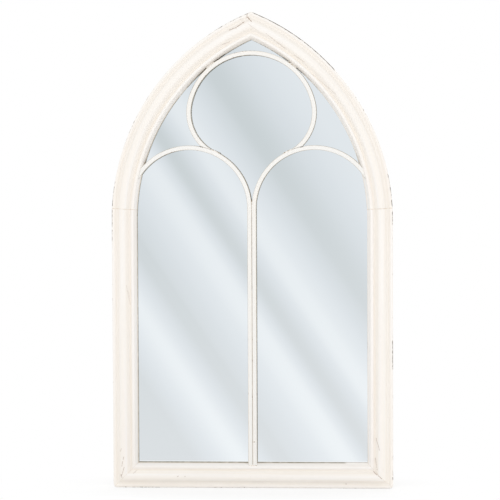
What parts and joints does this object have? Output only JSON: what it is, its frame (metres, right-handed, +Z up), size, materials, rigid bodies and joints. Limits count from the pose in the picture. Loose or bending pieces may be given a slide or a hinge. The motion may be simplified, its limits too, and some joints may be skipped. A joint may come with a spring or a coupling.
{
  "type": "arched window mirror",
  "caption": "Cream painted pointed-arch wall mirror: hollow steel moulding with pointed lights, a mullion and a round opening above, over one mirror sheet.",
  "frame": {"origin": "on the wall plane, at the middle of the frame's bottom edge", "axes": "+Z up, +Y from the front into the wall, +X to the right as seen from the front"},
  "size_m": [0.638, 0.0309, 1.0802],
  "materials": {
    "frame_paint": "satin cream, brushed thinly",
    "bar_paint": "satin cream, brushed thinly",
    "plate_steel": "satin cream",
    "mirror_silver": "silvered glass",
    "board": "plain hardboard",
    "felt_tape": "matte black felt",
    "bumper_rubber": "matte black",
    "spring_steel": "plain"
  },
  "bodies": {
    "root": {"bottom_rail": "frame_paint", "left_stile": "frame_paint", "right_stile": "frame_paint", "left_arch_rail": "frame_paint", "right_arch_rail": "frame_paint", "left_light_bar": "bar_paint", "right_light_bar": "bar_paint", "right_mullion_foot": "bar_paint", "oculus_ring": "bar_paint", "mirror_glass": "mirror_silver", "seat_tape": "felt_tape", "backing_board": "board", "left_hanger_plate": "plate_steel", "right_hanger_plate": "plate_steel", "left_corner_plate": "plate_steel", "right_corner_plate": "plate_steel", "apex_plate": "plate_steel", "left_bumper": "bumper_rubber", "right_bumper": "bumper_rubber", "left_stile_clip_1": "spring_steel", "left_stile_clip_2": "spring_steel", "left_arch_clip_1": "spring_steel", "left_arch_clip_2": "spring_steel", "left_arch_clip_3": "spring_steel", "left_bottom_clip": "spring_steel", "right_stile_clip_1": "spring_steel", "right_stile_clip_2": "spring_steel", "right_arch_clip_1": "spring_steel", "right_arch_clip_2": "spring_steel", "right_arch_clip_3": "spring_steel", "right_bottom_clip": "spring_steel"}
  },
  "joints": []
}
